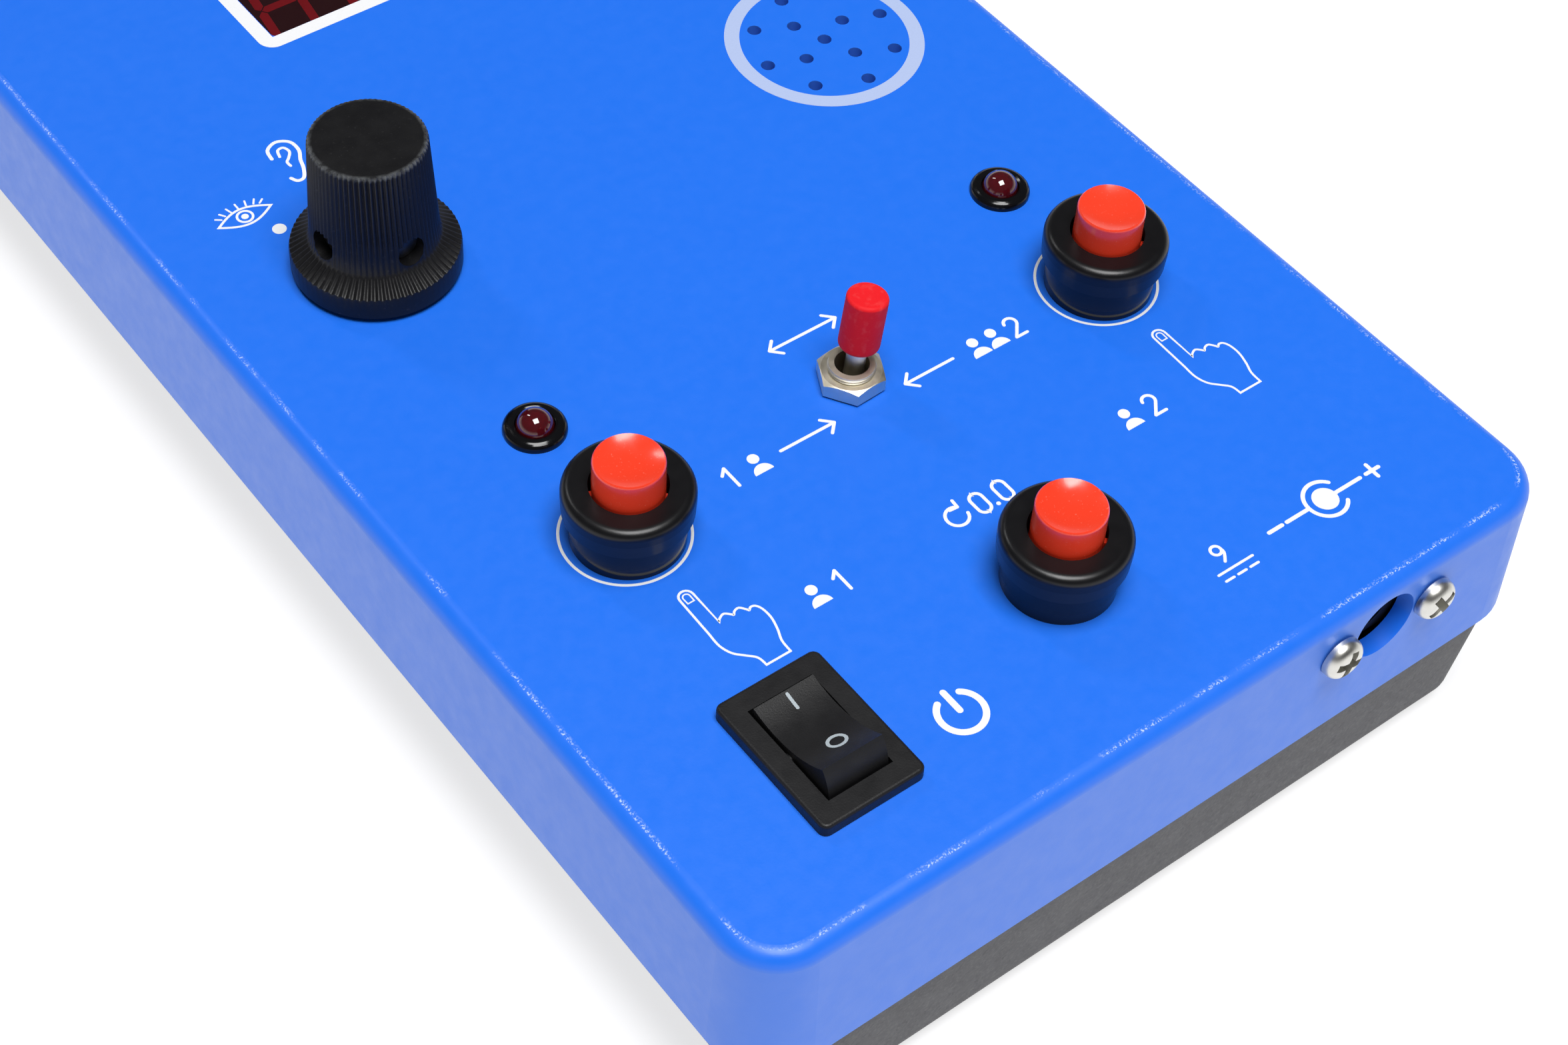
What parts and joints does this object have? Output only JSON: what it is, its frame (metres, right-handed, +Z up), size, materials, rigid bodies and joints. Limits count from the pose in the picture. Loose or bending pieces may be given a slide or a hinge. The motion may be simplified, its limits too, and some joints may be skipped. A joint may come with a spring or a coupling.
{
  "type": "quiz buzzer",
  "caption": "Tabletop quiz buzzer console with two player push buttons, reset, mode toggle, rocker power switch, rotary selector, lamps, speaker and digital display.",
  "frame": {"origin": "on the surface it stands on, under the middle of the whole console", "axes": "+X to the right along the players' edge, +Y away from the players along the panel, +Z up"},
  "size_m": [0.1262, 0.2222, 0.061],
  "materials": {
    "shell_blue": "satin moulded ABS with a fine texture",
    "base_grey": "spark-textured moulded ABS",
    "steel": "plated, bright",
    "foot_rubber": "matte",
    "black_plastic": "fine matte moulding",
    "red_rubber": "matte sleeve",
    "nickel": "nickel plate, slightly warm",
    "dark_steel": "blackened",
    "brown_plastic": "phenolic moulding",
    "tinned": "tinned",
    "knob_black": "fluted, worn at the rim",
    "paper": "treated paper cone",
    "magnet": "ferrite",
    "red_window": "clear red acrylic",
    "display_black": "black face with dull red segments",
    "board_green": "solder mask",
    "can": "sleeved can",
    "gloss_black": "glossy moulding",
    "cap_red": "glossy moulding",
    "lamp_red": "clear epoxy, unlit"
  },
  "bodies": {
    "console": {"top_shell": "shell_blue", "base_shell": "base_grey", "case_screws": "steel", "rubber_feet": "foot_rubber", "button_back_nuts": "black_plastic", "toggle_bush": "nickel", "toggle_nut": "nickel", "toggle_washer": "dark_steel", "toggle_body": "brown_plastic", "toggle_terminals": "tinned", "rocker_housing": "black_plastic", "rocker_terminals": "tinned", "rotary_switch": "brown_plastic", "rotary_nut": "nickel", "rotary_terminals": "tinned", "speaker_frame": "steel", "speaker_cone": "paper", "speaker_magnet": "magnet", "display_window": "red_window", "display_module": "display_black", "main_board": "board_green", "board_screws": "steel", "microcontroller": "black_plastic", "capacitor": "can", "regulator": "black_plastic", "socket_body": "black_plastic", "socket_pin": "nickel", "socket_screws": "steel", "socket_nuts": "steel", "user_1_collar": "gloss_black", "user_1_lock_nut": "gloss_black", "user_1_spring": "steel", "user_1_switch": "black_plastic", "user_1_terminals": "tinned", "user_2_collar": "gloss_black", "user_2_lock_nut": "gloss_black", "user_2_spring": "steel", "user_2_switch": "black_plastic", "user_2_terminals": "tinned", "reset_collar": "gloss_black", "reset_lock_nut": "gloss_black", "reset_spring": "steel", "reset_switch": "black_plastic", "reset_terminals": "tinned", "led_1_bezel": "gloss_black", "led_1_lamp": "lamp_red", "led_1_leads": "tinned", "led_2_bezel": "gloss_black", "led_2_lamp": "lamp_red", "led_2_leads": "tinned"},
    "user_1_button": {"user_1_cap": "cap_red"},
    "user_2_button": {"user_2_cap": "cap_red"},
    "reset_button": {"reset_cap": "cap_red"},
    "toggle": {"toggle_lever": "steel", "toggle_sleeve": "red_rubber"},
    "rocker": {"rocker_paddle": "black_plastic"},
    "selector": {"selector_knob": "knob_black", "knob_grub_screws": "dark_steel", "rotary_shaft": "steel"}
  },
  "joints": [
    {"name": "user_1_press", "type": "slide", "parent": "console", "child": "user_1_button", "axis": [0, 0, -1], "range_m": [0, 0.002], "stiffness_N_per_m": 300, "springref_m": -0.002, "deforming": ["user_1_spring"]},
    {"name": "user_2_press", "type": "slide", "parent": "console", "child": "user_2_button", "axis": [0, 0, -1], "range_m": [0, 0.002], "stiffness_N_per_m": 300, "springref_m": -0.002, "deforming": ["user_2_spring"]},
    {"name": "reset_press", "type": "slide", "parent": "console", "child": "reset_button", "axis": [0, 0, -1], "range_m": [0, 0.002], "stiffness_N_per_m": 300, "springref_m": -0.002, "deforming": ["reset_spring"]},
    {"name": "mode_toggle", "type": "hinge", "parent": "console", "child": "toggle", "pos_m": [0, -0.0448, 0.0375], "axis": [0, 1, 0], "range_deg": [-11, 0]},
    {"name": "power_rocker", "type": "hinge", "parent": "console", "child": "rocker", "pos_m": [-0.0379, -0.0872, 0.0401], "axis": [1, 0, 0], "range_deg": [0, 22]},
    {"name": "selector_turn", "type": "hinge", "parent": "console", "child": "selector", "pos_m": [-0.0375, 0.0067, 0.0395], "axis": [0, 0, 1], "range_deg": [-60, 0]}
  ]
}
